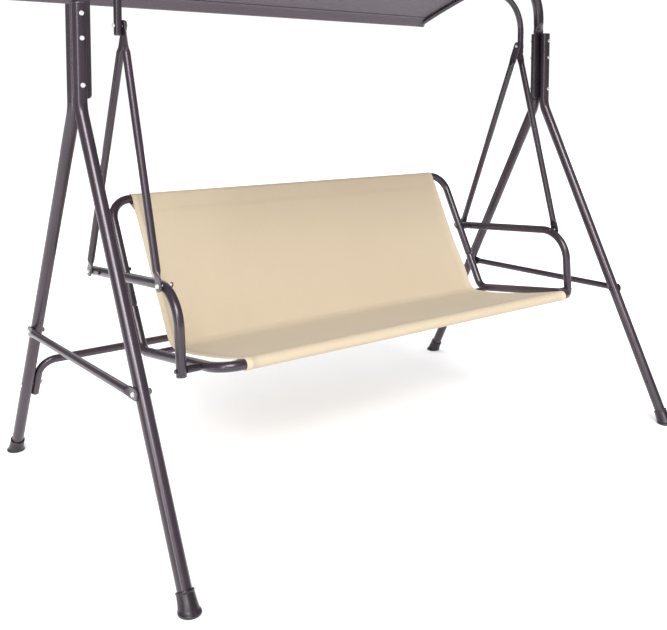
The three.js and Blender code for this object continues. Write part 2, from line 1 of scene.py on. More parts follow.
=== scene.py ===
"""Looks of the canopy swing bench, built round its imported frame.

Metres, +Z up. The sitter faces -Y, +X is to the right of someone who looks along +Y.
"""

import json
import math

import bmesh
import bpy
from mathutils import Euler, Matrix, Vector, noise


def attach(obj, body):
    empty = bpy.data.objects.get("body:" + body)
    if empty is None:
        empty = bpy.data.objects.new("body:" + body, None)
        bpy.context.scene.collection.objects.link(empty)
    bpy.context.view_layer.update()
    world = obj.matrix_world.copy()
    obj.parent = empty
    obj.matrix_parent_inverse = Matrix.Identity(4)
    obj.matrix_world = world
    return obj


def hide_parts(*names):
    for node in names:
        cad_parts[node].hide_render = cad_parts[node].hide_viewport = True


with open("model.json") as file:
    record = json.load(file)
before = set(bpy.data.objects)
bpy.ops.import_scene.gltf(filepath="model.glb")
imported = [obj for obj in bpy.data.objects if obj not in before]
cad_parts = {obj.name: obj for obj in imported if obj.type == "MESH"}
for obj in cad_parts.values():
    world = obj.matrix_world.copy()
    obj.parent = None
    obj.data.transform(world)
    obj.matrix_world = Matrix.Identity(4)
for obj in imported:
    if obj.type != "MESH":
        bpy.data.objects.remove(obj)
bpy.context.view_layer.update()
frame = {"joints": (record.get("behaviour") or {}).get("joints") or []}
JOINT_AT = {joint["name"]: joint["pos_m"] for joint in frame["joints"]}

MM = 0.001
UP = Vector((0, 0, 1))
SIDES = {"left": -1, "right": 1}

# ---- dimensions, as in the CAD
# A pair of numbers is a place (y, z), or the (width, thickness) of a pressed end.

GAP = 0.3 * MM
WALL = 1.5 * MM
JOINT_PLAY = 1.3 * MM

LEG_D = 0.032
LEG_X = 0.850
FOOT_Y = 0.525
LEG_PAIR_Y = 0.0203
LEG_FOOT_Z = 0.014
LEG_KNEE = 1.005
LEG_TOP = 1.256
LEG_BEND_R = 0.090
LEG_BOLTS = {"low": 1.062, "middle": 1.172, "top": 1.230}

BRACE_D = 0.020
BRACE_Z = 0.400
BRACE_CORNER_R = 0.011
STRETCHER_D = 0.022
STRETCHER_Z = 0.297
STRETCHER_END_Z = 0.195
STRETCHER_BOLT_Z = 0.228
STRETCHER_R = 0.045

BEAM_D = 0.034
BEAM_X = 0.838
BEAM_Z = 1.458
BEAM_R = 0.155
BEAM_FLAT = (0.049, 0.008)
BEAM_BOTTOM = 1.030
BEAM_FLAT_TOP = 1.262
BEAM_ROUND_FROM = 1.294
BEAM_CORNER_R = 0.010
BEAM_JOINT_X = 0.330
JOINT_LAP = 0.055
JOINT_TAPER = 0.008

HANGER_D = 0.020
PIVOT_Z = JOINT_AT["swing_pivot"][2]
HANGER_X = 0.7434
HANGER_R = 0.120
HANGER_BAR_Z = 1.378
HANGER_END_Z = 1.186
ROD_FLAT = (0.029, 0.0038)
ROD_FLAT_LENGTH = 0.030
ROD_FLAT_AT_PIVOT = 0.062
ROD_TAPER = 0.022
ROD_PAST_BOLT = 0.014
ROD_CORNER_R = 0.012

SEAT_D = 0.025
ARM_X = 0.712
RAIL_X = 0.650
SEAT_CORNER = (0.084, 0.362)
FRONT_RAIL = (-0.318, 0.411)
TOP_RAIL = (0.284, 0.745)
RAIL_CORNER_R = 0.060
SEAT_CORNER_R = 0.036
SEAT_JOINT_Z = 0.470
CROSS_RAIL = (0.054, 0.361)
CROSS_RAIL_D = 0.016
ARM_REAR = (0.266, 0.559)
ARM_ELBOW = (-0.230, 0.594)
ARM_POST_END = (-0.244, 0.388)
ARM_BEND_R = 0.095
REAR_ROD_BOLT = (0.250, 0.560)
FRONT_ROD_BOLT = (-0.172, 0.590)
ARM_BOLT_Y = 0.190
POST_BOLT_Z = 0.4019
SPACER_R = 0.009

SLING_HALF = 0.587
SLING_POCKET = 0.040
SLING_FRONT_ANGLE = 73
SLING_BACK = ((0.168, 0.553), (0.103, 0.445), (0.072, 0.388))
SLING_SEAT = ((0.010, 0.3685), (-0.090, 0.3795), (-0.220, 0.4025))
CANOPY_HALF = 0.8735
CANOPY_POCKET = 0.030
CANOPY_ARM_X = 0.862
CANOPY_TUBE_D = 0.018
CANOPY_ROD_D = 0.016
CANOPY_PIVOT_Z = JOINT_AT["canopy_tilt"][2]
CANOPY_R = 3.455
CANOPY_TILT = math.radians(11)
CANOPY_FRONT = 0.6306
CANOPY_REAR = 0.6506

SADDLE_X = JOINT_AT["knob_right_turn"][0]
SADDLE_HALF = 0.012
SADDLE_WAIST = 0.025
SADDLE_TOP_R = 0.016
SADDLE_BOTTOM_R = 0.017
SADDLE_CORNER_R = 0.006
KNOB_R = 0.014
KNOB_LOBES = 5
KNOB_LOBE = 0.0022
KNOB_DEPTH = 0.014
KNOB_FACE = 0.028

BOLT_HEAD_R = 0.0052
BOLT_HEAD = 0.0045
BOLT_SHANK_R = 0.0030

# ---- lines that pieces share


def lerp(a, b, t):
    return a + (b - a) * t


LEG_SLOPE = (FOOT_Y - LEG_PAIR_Y) / LEG_KNEE


def leg_y(z):
    return FOOT_Y - LEG_SLOPE * z


def back_y(z):
    return lerp(SEAT_CORNER[0], TOP_RAIL[0], (z - SEAT_CORNER[1]) / (TOP_RAIL[1] - SEAT_CORNER[1]))


def arm_z(y):
    return lerp(ARM_REAR[1], ARM_ELBOW[1], (ARM_REAR[0] - y) / (ARM_REAR[0] - ARM_ELBOW[0]))


def post_y(z):
    share = (z - ARM_POST_END[1]) / (ARM_ELBOW[1] - ARM_POST_END[1])
    return lerp(ARM_POST_END[0], ARM_ELBOW[0], share)


def arch_point(distance, above=0.0):
    """(y, z) over the canopy's arch, at a distance along it from the pivot, rear positive."""
    centre_down = CANOPY_R - (CANOPY_TUBE_D + GAP)
    angle = distance / CANOPY_R + CANOPY_TILT
    r = CANOPY_R + above
    return Vector((
        r * math.sin(angle) - centre_down * math.sin(CANOPY_TILT),
        CANOPY_PIVOT_Z + r * math.cos(angle) - centre_down * math.cos(CANOPY_TILT),
    ))


def add_object(name, data):
    made = bpy.data.objects.new(name, data)
    bpy.context.scene.collection.objects.link(made)
    return made


# ---- camera, light and floor

SENSOR_WIDTH = 36  # mm
CAMERA_LENS = 48.0554  # mm
CAMERA_AT = (-1.6732, -2.0565, 1.0362)
CAMERA_YAW = 37.829  # degrees, from +Y towards +X
CAMERA_PITCH = -4.415
CAMERA_SHIFT_Y = -0.22489
WORLD_STRENGTH = 1.06
WORLD_IN_GLOSS = 0.22
SUN_ANGLE = math.radians(28)
LIGHTS_AIM = Vector((0, 0, 0.7))
LIGHTS = {
    "sun": dict(kind="SUN", at=(-3.0, -4.6, 5.2), energy=3.0),
    "strip": dict(kind="AREA", at=(-4.2, -2.6, 1.6), energy=60, size=(0.7, 3.2)),
    "rim": dict(kind="AREA", at=(0.6, 3.6, 2.6), energy=25, size=(3.0, 1.2)),
}
FLOOR_REACH = 14
FLOOR_DROP = 0.4 * MM  # keeps the floor clear of the feet


def make_camera():
    data = bpy.data.cameras.new("camera")
    data.sensor_fit = "HORIZONTAL"
    data.sensor_width = SENSOR_WIDTH
    data.lens = CAMERA_LENS
    data.shift_y = CAMERA_SHIFT_Y
    data.clip_start, data.clip_end = 0.05, 60
    camera = add_object("camera", data)
    camera.location = CAMERA_AT
    camera.rotation_euler = Euler((math.radians(90 + CAMERA_PITCH), 0, -math.radians(CAMERA_YAW)))
    bpy.context.scene.camera = camera


def add_light(name, kind, at, energy, size=None):
    """A lamp aimed at the middle of the object; size is a softbox's width and height."""
    data = bpy.data.lights.new(name, kind)
    data.energy = energy
    if size:
        data.shape = "RECTANGLE"
        data.size, data.size_y = size
    else:
        data.angle = SUN_ANGLE
    light = add_object(name, data)
    light.location = at
    light.rotation_euler = (LIGHTS_AIM - Vector(at)).to_track_quat("-Z", "Y").to_euler()


def make_world():
    """White from all sides, dimmer in reflections, so that the paint stays dark."""
    world = bpy.data.worlds.new("studio")
    world.use_nodes = True
    nodes, links = world.node_tree.nodes, world.node_tree.links
    background = nodes["Background"]
    background.inputs["Color"].default_value = (1.0, 1.0, 1.0, 1)
    ray = nodes.new("ShaderNodeLightPath")
    strength = nodes.new("ShaderNodeMapRange")
    strength.inputs["To Min"].default_value = WORLD_STRENGTH
    strength.inputs["To Max"].default_value = WORLD_IN_GLOSS
    links.new(ray.outputs["Is Glossy Ray"], strength.inputs["Value"])
    links.new(strength.outputs["Result"], background.inputs["Strength"])
    bpy.context.scene.world = world


def make_floor():
    mesh = bpy.data.meshes.new("floor")
    corners = [(x * FLOOR_REACH, y * FLOOR_REACH, 0) for x, y in ((-1, -1), (1, -1), (1, 1), (-1, 1))]
    mesh.from_pydata(corners, [], [(0, 1, 2, 3)])
    floor = add_object("floor", mesh)
    floor.location.z = -FLOOR_DROP
    paper = Shader("floor_paper")
    grain = paper.noise(6, 3)
    paper.set("Base Color", paper.ramp(grain, [(0.3, (0.955, 0.957, 0.970)), (0.7, (0.975, 0.977, 0.985))]))
    paper.set("Roughness", 0.9)
    paper.set("Specular IOR Level", 0.1)
    floor.data.materials.append(paper.material)


def make_studio():
    bpy.context.scene.view_settings.view_transform = "Standard"
    make_world()
    for name, light in LIGHTS.items():
        add_light(name, **light)
    make_floor()


# ---- materials


class Shader:
    """A node material, built a line at a time."""

    def __init__(self, name):
        self.material = bpy.data.materials.new(name)
        self.material.use_nodes = True
        self.tree = self.material.node_tree
        self.bsdf = self.tree.nodes["Principled BSDF"]
        self.place = self.node("TexCoord").outputs["Object"]

    def node(self, kind, inputs=None, **settings):
        made = self.tree.nodes.new("ShaderNode" + kind)
        for key, value in settings.items():
            setattr(made, key, value)
        for key, value in (inputs or {}).items():
            self.put(made.inputs[key], value)
        return made

    def put(self, socket, value):
        if isinstance(value, bpy.types.NodeSocket):
            self.tree.links.new(value, socket)
        else:
            socket.default_value = value

    def set(self, name, value):
        self.put(self.bsdf.inputs[name], value)

    def noise(self, scale, detail=2.0, at=None, roughness=0.5):
        inputs = {"Vector": at or self.place, "Scale": scale, "Detail": detail, "Roughness": roughness}
        return self.node("TexNoise", inputs).outputs["Fac"]

    def ramp(self, factor, stops):
        made = self.node("ValToRGB", {"Fac": factor})
        elements = made.color_ramp.elements
        while len(elements) < len(stops):
            elements.new(0.5)
        for element, (at, colour) in zip(elements, stops):
            element.position = at
            element.color = (*colour, 1) if isinstance(colour, tuple) else (colour, colour, colour, 1)
        return made.outputs["Color"]

    def math(self, operation, a, b=0.0, clamp=False):
        return self.node("Math", {0: a, 1: b}, operation=operation, use_clamp=clamp).outputs[0]

    def times(self, a, b, clamp=False):
        return self.math("MULTIPLY", a, b, clamp)

    def plus(self, a, b):
        return self.math("ADD", a, b)

    def blend(self, factor, a, b):
        """Colour a where factor is 0 and b where it is 1."""
        a, b = ((*c, 1) if isinstance(c, tuple) else c for c in (a, b))
        made = self.node("Mix", {0: factor, 6: a, 7: b}, data_type="RGBA")
        return made.outputs[2]

    def attribute(self, name, output="Fac"):
        return self.node("Attribute", attribute_name=name).outputs[output]

    def separate(self, vector):
        made = self.node("SeparateXYZ", {"Vector": vector})
        return made.outputs["X"], made.outputs["Y"], made.outputs["Z"]

    def bump(self, height, distance, strength=1.0, after=None):
        inputs = {"Height": height, "Distance": distance, "Strength": strength}
        if after is not None:
            inputs["Normal"] = after
        return self.node("Bump", inputs).outputs["Normal"]


def frame_paint():
    """Satin powder coat: orange peel, faint mottling, dust on upward faces and wear at edges."""
    s = Shader("frame_paint")
    colour = s.ramp(s.noise(9, 4), [(0.3, (0.030, 0.020, 0.029)), (0.72, (0.043, 0.029, 0.041))])
    up = s.separate(s.node("NewGeometry").outputs["Normal"])[2]
    specks = s.ramp(s.noise(60, 6, roughness=0.7), [(0.42, 0.15), (0.75, 0.8)])
    level = s.times(s.math("SUBTRACT", up, 0.55), 0.35, True)
    dust = s.times(level, specks)
    colour = s.blend(dust, colour, (0.15, 0.13, 0.14))
    worn = s.times(s.attribute("wear"), s.ramp(s.noise(320, 5), [(0.50, 0.0), (0.60, 1.0)]))
    colour = s.blend(worn, colour, (0.17, 0.15, 0.16))
    s.set("Base Color", colour)
    s.set("Metallic", 0.25)
    rough = s.plus(s.ramp(s.noise(26, 3), [(0.3, 0.27), (0.75, 0.35)]), s.times(dust, 0.7))
    s.set("Roughness", s.plus(rough, s.times(worn, 0.2)))
    s.set("Coat Weight", 0.35)
    s.set("Coat Roughness", 0.16)
    s.set("Normal", s.bump(s.noise(850, 2), 0.06 * MM, 0.7))
    return s.material


def zinc():
    """Bright zinc plate, finely brushed."""
    s = Shader("zinc")
    brushed = s.noise(420, 4)
    s.set("Base Color", s.ramp(s.noise(70, 3), [(0.3, (0.62, 0.62, 0.63)), (0.7, (0.80, 0.80, 0.79))]))
    s.set("Metallic", 0.5)
    s.set("Roughness", s.ramp(brushed, [(0.3, 0.24), (0.7, 0.44)]))
    s.set("Normal", s.bump(brushed, 0.05 * MM, 0.6))
    return s.material


def plastic():
    """Moulded plastic with a fine spark-eroded texture and scuffs low down."""
    s = Shader("plastic")
    grain = s.noise(1500, 2)
    low = s.math("SUBTRACT", 1.0, s.times(s.separate(s.place)[2], 60.0, True), True)
    scuffs = s.times(low, s.ramp(s.noise(240, 5), [(0.48, 0.0), (0.62, 0.8)]))
    colour = s.ramp(s.noise(35, 3), [(0.3, (0.011, 0.007, 0.011)), (0.7, (0.018, 0.012, 0.018))])
    s.set("Base Color", s.blend(scuffs, colour, (0.045, 0.038, 0.043)))
    s.set("Roughness", s.ramp(grain, [(0.3, 0.30), (0.7, 0.42)]))
    s.set("Normal", s.bump(grain, 0.05 * MM, 0.8))
    return s.material


YARN_STRETCH = 30.0  # how much longer than thick the yarns' uneven stretches are


def woven(name, dark, light, hem_tint, pitch, roughness, sheen):
    """Woven cloth. The mesh's cloth attribute holds metres across, metres along and a hem flag."""
    s = Shader(name)
    across, along, hem = s.separate(s.attribute("cloth", "Vector"))
    turn = 2 * math.pi / pitch
    warp = s.math("SINE", s.times(across, turn))
    weft = s.math("SINE", s.times(along, turn))
    weave = s.plus(s.times(s.times(warp, weft), 0.5), 0.5)
    long_in_y = {"X": s.times(across, YARN_STRETCH), "Y": along, "Z": 0.0}
    slub = s.noise(38, 4, at=s.node("CombineXYZ", long_in_y).outputs[0])
    long_in_x = {"X": across, "Y": s.times(along, YARN_STRETCH), "Z": 1.0}
    slub_along = s.noise(38, 4, at=s.node("CombineXYZ", long_in_x).outputs[0])
    yarn = s.plus(s.times(slub, 0.5), s.times(slub_along, 0.5))
    # Painted highlight and painted shade: the weave makes the colour lighter on the yarns' crowns and
    # darker in the gaps between them, as well as bumping them; the slubs are the yarns' own uneven tone.
    painted_weave_shade_and_slub_tone = s.plus(s.times(weave, 0.55), s.times(yarn, 0.45))
    colour = s.ramp(painted_weave_shade_and_slub_tone, [(0.30, dark), (0.66, light)])
    soiling = s.ramp(s.noise(2.6, 5), [(0.35, 0.0), (0.8, 0.16)])
    colour = s.blend(soiling, colour, tuple(0.82 * c for c in dark))
    colour = s.blend(s.times(hem, 0.55), colour, hem_tint)
    s.set("Base Color", colour)
    s.set("Roughness", roughness)
    s.set("Sheen Weight", sheen)
    s.set("Sheen Roughness", 0.5)
    s.set("Specular IOR Level", 0.3)
    wrinkle = s.bump(s.noise(14, 3), 1.2 * MM, 0.35)
    s.set("Normal", s.bump(weave, 0.30 * MM, 0.8, after=wrinkle))
    return s.material


def thread(name, colour):
    """Sewing thread with its twist."""
    s = Shader(name)
    ply = s.node("TexWave", {"Vector": s.place, "Scale": 900.0, "Distortion": 1.0}).outputs["Fac"]
    s.set("Base Color", s.ramp(ply, [(0.2, tuple(0.7 * c for c in colour)), (0.8, colour)]))
    s.set("Roughness", 0.7)
    s.set("Normal", s.bump(ply, 0.05 * MM, 0.6))
    return s.material


MATERIALS = {
    "frame_paint": frame_paint(),
    "zinc": zinc(),
    "plastic": plastic(),
    "sling_cloth": woven(
        "sling_cloth", dark=(0.415, 0.338, 0.238), light=(0.535, 0.445, 0.322),
        hem_tint=(0.55, 0.465, 0.345), pitch=1.7 * MM, roughness=0.78, sheen=0.10,
    ),
    "canopy_cloth": woven(
        "canopy_cloth", dark=(0.096, 0.077, 0.095), light=(0.143, 0.118, 0.141),
        hem_tint=(0.10, 0.08, 0.098), pitch=1.1 * MM, roughness=0.85, sheen=0.1,
    ),
    "sling_thread": thread("sling_thread", (0.52, 0.45, 0.35)),
    "canopy_thread": thread("canopy_thread", (0.10, 0.08, 0.10)),
}


# ---- pieces


def piece(name, bm, material, body, replaces=(), sharp=38.0):
    """Makes a bmesh into a piece that rides on a body, and stands for CAD nodes."""
    bmesh.ops.remove_doubles(bm, verts=bm.verts, dist=1e-7)
    bmesh.ops.recalc_face_normals(bm, faces=bm.faces)
    mesh = bpy.data.meshes.new(name)
    bm.to_mesh(mesh)
    bm.free()
    mesh.shade_smooth()
    mesh.set_sharp_from_angle(angle=math.radians(sharp))
    mesh.materials.append(MATERIALS[material])
    made = add_object(name, mesh)
    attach(made, body)
    if replaces:
        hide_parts(*replaces)
    return made


def skin(bm, rings, loop=False):
    """Faces between rows of vertices, each row closed; loop also joins the last row to the first."""
    pairs = list(zip(rings, rings[1:]))
    if loop:
        pairs.append((rings[-1], rings[0]))
    for a, b in pairs:
        n = len(a)
        for i in range(n):
            bm.faces.new((a[i], a[(i + 1) % n], b[(i + 1) % n], b[i]))


def route(points, radii=(), step=4):
    """Places and directions along straight stretches and round bends, cut every step degrees."""
    points = [Vector(p) for p in points]
    stops = [(points[0], (points[1] - points[0]).normalized())]
    for before, corner, after, r in zip(points, points[1:], points[2:], radii):
        into, out = (corner - before).normalized(), (after - corner).normalized()
        angle = into.angle(out)
        inward = (out - into * into.dot(out)).normalized()
        start = corner - into * r * math.tan(angle / 2)
        centre = start + inward * r
        count = max(3, math.ceil(math.degrees(angle) / step))
        for k in range(count + 1):
            a = angle * k / count
            at = centre - inward * r * math.cos(a) + into * r * math.sin(a)
            stops.append((at, into * math.cos(a) + inward * math.sin(a)))
    stops.append((points[-1], (points[-1] - points[-2]).normalized()))
    return stops


def with_stops(stops, from_start=(), from_end=()):
    """More stops on the first and the last straight stretch, at distances from its end."""
    (a, along_a), (b, along_b) = stops[0], stops[-1]
    first = [(a + along_a * d, along_a) for d in sorted(from_start)]
    last = [(b - along_b * d, along_b) for d in sorted(from_end, reverse=True)]
    return [stops[0], *first, *stops[1:-1], *last, stops[-1]]


def smooth_step(t):
    t = min(1.0, max(0.0, t))
    return t * t * (3 - 2 * t)


class Flat:
    """How an end of a tube is pressed flat: width, thickness, length, taper and corner radius."""

    def __init__(self, size, length, taper, corner):
        self.half = (size[0] / 2, size[1] / 2)
        self.length, self.taper, self.corner = length, taper, corner

    def share(self, d):
        """How flat the tube is at a distance from its end."""
        return smooth_step(1 - (d - self.length) / self.taper)

    def width(self, d):
        """Share of the half width at a distance from the end, so that the corners are round."""
        if d >= self.corner:
            return 1.0
        cut = self.corner - math.sqrt(max(0.0, self.corner**2 - (self.corner - d) ** 2))
        return 1 - cut / self.half[0]

    def stops(self):
        corner = [self.corner * (1 - math.cos(math.radians(a))) for a in (20, 40, 60, 75, 90)]
        taper = [self.length + self.taper * k / 8 for k in range(9)]
        return corner + taper


LIP = 0.35 * MM  # radius of a tube end's edges
LIP_ROUND = LIP * 0.3
LIP_STOPS = (1.2 * MM, 3.0 * MM)
WORN_REACH = 2 * MM  # how far a tube's end is worn


def pressed(n):
    """Height of a pressed end's section where a round tube's would be n: flat faces, round edges."""
    return math.copysign(min(1.0, 1.9 * abs(n)) ** 0.8, n) if n else 0.0


def tube(name, stops, d, body, wide=(1, 0, 0), start=None, end=None, narrow=None, sides=32):
    """A hollow tube along stops, with rolled lips, that stands for the node of its name.

    start and end are Flat, and narrow(distance, total) is the share of its width that it keeps.
    """
    bm = bmesh.new()
    wear = bm.verts.layers.float.new("wear")
    stops = with_stops(stops, start.stops() if start else LIP_STOPS, end.stops() if end else LIP_STOPS)
    distances = [0.0]
    for (a, _), (b, _) in zip(stops, stops[1:]):
        distances.append(distances[-1] + (b - a).length)
    total = distances[-1]
    frames = []
    across = Vector(wide)
    for at, along in stops:
        across = (across - along * across.dot(along)).normalized()
        frames.append((at, along, across.copy(), along.cross(across)))

    def ring(index, inset, shift=0.0):
        at, along, w, t = frames[index]
        s = distances[index]
        r = d / 2 * (narrow(s, total) if narrow else 1.0) - inset
        share, half_w, half_t = 0.0, r, r
        for flat, far in ((start, s), (end, total - s)):
            if flat and flat.share(far) > 0:
                share = flat.share(far)
                half_w = flat.half[0] * flat.width(far) - inset
                half_t = flat.half[1] - inset * 0.9
        made = []
        for k in range(sides):
            angle = 2 * math.pi * k / sides
            c, n = math.cos(angle), math.sin(angle)
            x = lerp(r * c, half_w * c, share)
            y = lerp(r * n, half_t * pressed(n), share)
            v = bm.verts.new(at + along * shift + w * x + t * y)
            v[wear] = 1.0 if min(s, total - s) < WORN_REACH else 0.35 * abs(c) ** 6 * share
            made.append(v)
        return made

    last = len(stops) - 1
    pull = {0: LIP, last: -LIP}
    rows = [(0, LIP_ROUND, LIP_ROUND), *((i, 0.0, pull.get(i, 0.0)) for i in range(last + 1))]
    rows += [(last, LIP_ROUND, -LIP_ROUND), (last, LIP)]
    rows += [(last, WALL - LIP), (last, WALL - LIP_ROUND, -LIP_ROUND)]
    rows += [(i, WALL, pull.get(i, 0.0)) for i in range(last, -1, -1)]
    rows += [(0, WALL - LIP_ROUND, LIP_ROUND), (0, WALL - LIP), (0, LIP)]
    skin(bm, [ring(*row) for row in rows], loop=True)
    return piece(name, bm, "frame_paint", body, [name])


def turned(*rows):
    """A lathe profile closed at both ends, from (distance along, radius) rows."""
    return [(rows[0][0], 0, 0), *((distance, r, 0) for distance, r in rows), (rows[-1][0], 0, 0)]


def lathe(bm, at, along, profile, sides=32):
    """A closed turned solid from (distance along, radius, share of a hexagon) rows, end to end."""
    along = Vector(along).normalized()
    side = along.orthogonal().normalized()
    other = along.cross(side)
    sixth = math.pi / 6
    rings = []
    for distance, r, share in profile:
        centre = Vector(at) + along * distance
        if r == 0:
            rings.append([bm.verts.new(centre)])
            continue
        row = []
        for k in range(sides):
            angle = 2 * math.pi * k / sides
            flat = math.cos(sixth) / math.cos(angle % (2 * sixth) - sixth)
            reach = r * lerp(1.0, flat, share)
            row.append(bm.verts.new(centre + (side * math.cos(angle) + other * math.sin(angle)) * reach))
        rings.append(row)
    for a, b in zip(rings, rings[1:]):
        for k in range(sides):
            corners = (a[k % len(a)], a[(k + 1) % len(a)], b[(k + 1) % len(b)], b[k % len(b)])
            bm.faces.new(tuple(dict.fromkeys(corners)))


def hex_part(bm, at, along, thickness, r, crown=0.0):
    """A hexagon with chamfered corners, its far face crowned."""
    cut = r * 0.13
    lathe(bm, at, along, [
        (0, 0, 0), (0, r * 0.86, 0), (cut * 0.5, r, 1), (thickness - cut, r, 1),
        (thickness, r * 0.86, 0), (thickness + crown * 0.7, r * 0.5, 0), (thickness + crown, 0, 0),
    ], sides=48)


BOLT_AXES = {"x": Vector((1, 0, 0)), "y": Vector((0, 1, 0))}
WASHER = 0.9 * MM
NUT = 3.1 * MM
NUT_CAP_R = 6.7 * MM
NUT_CAP_BASE = 1.6 * MM
NUT_CAP_RISE = 3.3 * MM
THREAD_PITCH = 0.26 * MM


def nut_cap(name, at, along, body):
    """A moulded dome pushed over a nut."""
    bm = bmesh.new()
    rows = [(0, NUT_CAP_R - 0.3 * MM), (0.5 * MM, NUT_CAP_R), (NUT_CAP_BASE, NUT_CAP_R)]
    for degrees in range(15, 90, 15):
        a = math.radians(degrees)
        rows.append((NUT_CAP_BASE + NUT_CAP_RISE * math.sin(a), NUT_CAP_R * math.cos(a) ** 0.7))
    lathe(bm, at, along, turned(*rows), sides=40)
    piece(name, bm, "plastic", body, sharp=50)


def lock_nut(bm, at, along):
    """A hexagon nut with a collar, and the bolt's end just past it."""
    hex_part(bm, at, along, NUT, BOLT_HEAD_R)
    collar = at + along * (NUT - 0.1 * MM)
    lathe(bm, collar, along, turned((0, 5.0 * MM), (0.6 * MM, 5.0 * MM), (1.0 * MM, 4.5 * MM)))
    turns = []
    for k in range(5):
        turns += [(k * THREAD_PITCH, 2.95 * MM), ((k + 0.5) * THREAD_PITCH, 2.6 * MM)]
    lathe(bm, collar + along * 0.6 * MM, along, turned(*turns, (1.35 * MM, 2.3 * MM)), sides=24)


def bolt(name, axis, at, first, last, body, washers=True, finish="zinc", capped=False):
    """A hexagon bolt that clamps from first to last along an axis, with a lock nut or a capped one."""
    bm = bmesh.new()
    along = BOLT_AXES[axis] * (1 if last > first else -1)
    head_at, nut_at = Vector(at), Vector(at)
    head_at["xyz".index(axis)], nut_at["xyz".index(axis)] = first, last
    grip = (nut_at - head_at).length
    lathe(bm, head_at, along, turned((0, BOLT_SHANK_R), (grip, BOLT_SHANK_R)), sides=24)
    off_face = GAP * 0.3
    if washers:
        for spot, way in ((head_at, -along), (nut_at, along)):
            profile = turned((0, 5.5 * MM), (0.3 * MM, 5.8 * MM), (WASHER, 5.7 * MM))
            lathe(bm, spot + way * off_face, way, profile)
    thin = (WASHER if washers else 0.0) + off_face
    hex_part(bm, head_at - along * thin, -along, BOLT_HEAD - thin, BOLT_HEAD_R, crown=0.5 * MM)
    if capped:
        nut_cap(f"{name}_cap", nut_at + along * thin, along, body)
    else:
        lock_nut(bm, nut_at + along * thin, along)
    piece(name, bm, finish, body, [name], sharp=30)


def end_plugs(name, stops, d, body):
    """A moulded plug in each open end of a tube, with a crowned face."""
    r = d / 2
    stub, deep = r - WALL - 0.2 * MM, 9 * MM
    rows = [(-deep, stub - 0.8 * MM), (-deep + 1.0 * MM, stub), (GAP / 3, stub), (GAP / 3, r - 0.4 * MM)]
    rows += [(0.5 * MM, r - 0.1 * MM), (1.1 * MM, r - 0.2 * MM), (1.6 * MM, r - 0.9 * MM)]
    rows += [(2.0 * MM, r * 0.5)]
    for place, (at, along), way in (("start", stops[0], -1), ("end", stops[-1], 1)):
        bm = bmesh.new()
        lathe(bm, at, along * way, turned(*rows), sides=40)
        piece(f"{name}_plug_{place}", bm, "plastic", body, sharp=35)


def mirrored(points, sign):
    return [(sign * x, y, z) for x, y, z in points]


# ---- frame


def make_legs(side, sign):
    for end, to in (("front", -1), ("rear", 1)):
        stops = route(mirrored([
            (LEG_X, to * leg_y(LEG_FOOT_Z), LEG_FOOT_Z),
            (LEG_X, to * LEG_PAIR_Y, LEG_KNEE),
            (LEG_X, to * LEG_PAIR_Y, LEG_TOP),
        ], sign), [LEG_BEND_R], step=2)
        name = f"{end}_leg_{side}"
        tube(name, stops, LEG_D, "frame", sides=40)
        make_foot_cap(f"foot_cap_{end}_{side}", sign, to)


# Rows (height, radius) in millimetres, from the floor up and over the mouth into the cup.
CAP_FLANGE = [(0, 1.0), (0, 22.5), (0.6, 23.8), (1.8, 24.7), (3.6, 25.0), (5.4, 24.7), (6.8, 23.8)]
CAP_NECK = [(7.8, 22.8), (9.0, 22.0), (13.0, 21.2)]
CAP_NECK_TILT = [0.15, 0.35, 0.8]
CAP_CUP = [(19.0, 20.4), (27.0, 19.7), (34.0, 19.2), (35.4, 19.2), (35.8, 19.6), (36.6, 19.9), (38.8, 19.9)]
CAP_MOUTH = [(39.7, 19.5), (40.0, 18.8), (40.0, 17.6), (39.4, 16.9), (38.0, 16.6)]
CAP_BORE = [(30.0, 16.25), (20.0, 16.15), (20.0, 1.0)]


def make_foot_cap(name, sign, to):
    """A moulded cup on the leg that flares out to a round flange on the floor."""
    bm = bmesh.new()
    lean = Vector((0, -to * LEG_SLOPE, 1)).normalized()
    foot = Vector((sign * LEG_X, to * FOOT_Y, 0))
    across = Vector((1, 0, 0))

    def ring(height, r, tilt, count=48):
        """A round of the cap: level under the foot where tilt is 0, square to the leg where it is 1."""
        along = UP.lerp(lean, tilt).normalized()
        shift = lean.y / lean.z * height if tilt else 0.0
        centre = foot + Vector((0, shift, height))
        depth = along.cross(across).normalized()
        turns = (2 * math.pi * k / count for k in range(count))
        return [bm.verts.new(centre + across * r * math.cos(a) + depth * r * math.sin(a)) for a in turns]

    rounds = [(*row, 0) for row in CAP_FLANGE]
    rounds += [(*row, tilt) for row, tilt in zip(CAP_NECK, CAP_NECK_TILT)]
    rounds += [(*row, 1) for row in CAP_CUP + CAP_MOUTH + CAP_BORE]
    rows = [ring(height * MM, r * MM, tilt) for height, r, tilt in rounds]
    skin(bm, rows)
    bm.faces.new(rows[0])
    bm.faces.new(rows[-1])
    piece(name, bm, "plastic", "frame", [name], sharp=45)


def make_brace(side, sign):
    x = sign * (LEG_X + LEG_D / 2 + GAP + ROD_FLAT[1] / 2)
    half = leg_y(BRACE_Z) + ROD_PAST_BOLT
    flat = Flat(ROD_FLAT, ROD_FLAT_LENGTH, ROD_TAPER, BRACE_CORNER_R)
    stops = route([(x, -half, BRACE_Z), (x, half, BRACE_Z)])
    name = f"side_brace_{side}"
    tube(name, stops, BRACE_D, "frame", wide=UP, start=flat, end=flat)
    outer = LEG_X + LEG_D / 2 + GAP + ROD_FLAT[1]
    for end, to in (("front", -1), ("rear", 1)):
        at = (0, to * leg_y(BRACE_Z), BRACE_Z)
        ends = (sign * outer, sign * (LEG_X - LEG_D / 2))
        bolt(f"brace_bolt_{end}_{side}", "x", at, *ends, "frame", capped=True)


